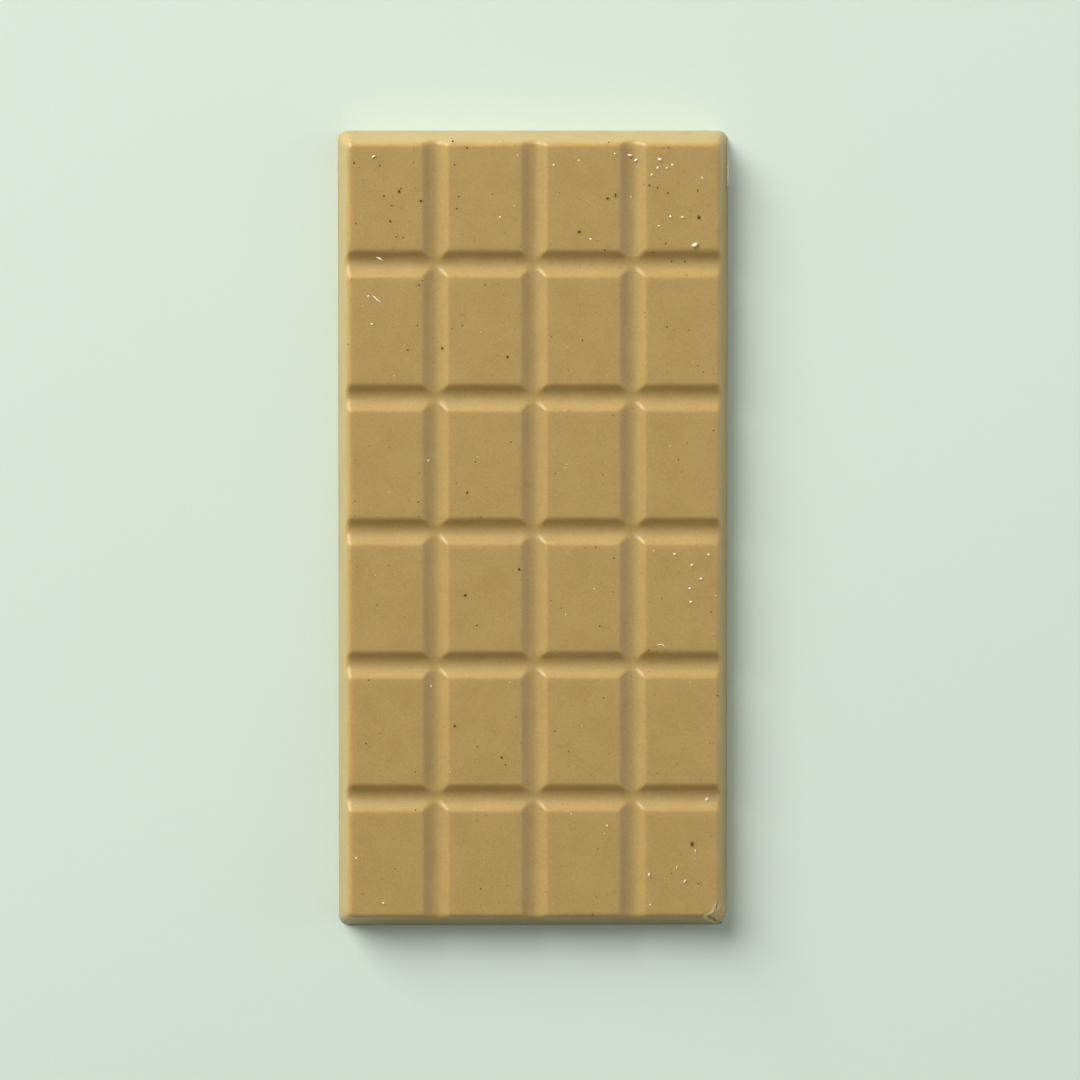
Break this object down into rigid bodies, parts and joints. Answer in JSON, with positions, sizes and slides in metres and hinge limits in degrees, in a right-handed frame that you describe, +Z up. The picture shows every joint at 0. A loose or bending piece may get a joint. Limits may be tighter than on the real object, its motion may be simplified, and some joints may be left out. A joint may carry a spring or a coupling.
{
  "type": "chocolate bar",
  "caption": "Moulded tan chocolate bar, a flat tablet of rectangular pillows parted by grooves, with leaning side walls and one chipped corner.",
  "frame": {"origin": "middle of the underside, the flat poured face that the bar rests on", "axes": "+Z up out of the moulded face, +Y along the bar's length towards the end without the chip, +X across it towards the side with the chipped corner"},
  "size_m": [0.077, 0.1574, 0.0071],
  "materials": {
    "chocolate": null
  },
  "bodies": {
    "root": {"chocolate_bar": "chocolate"}
  },
  "joints": []
}
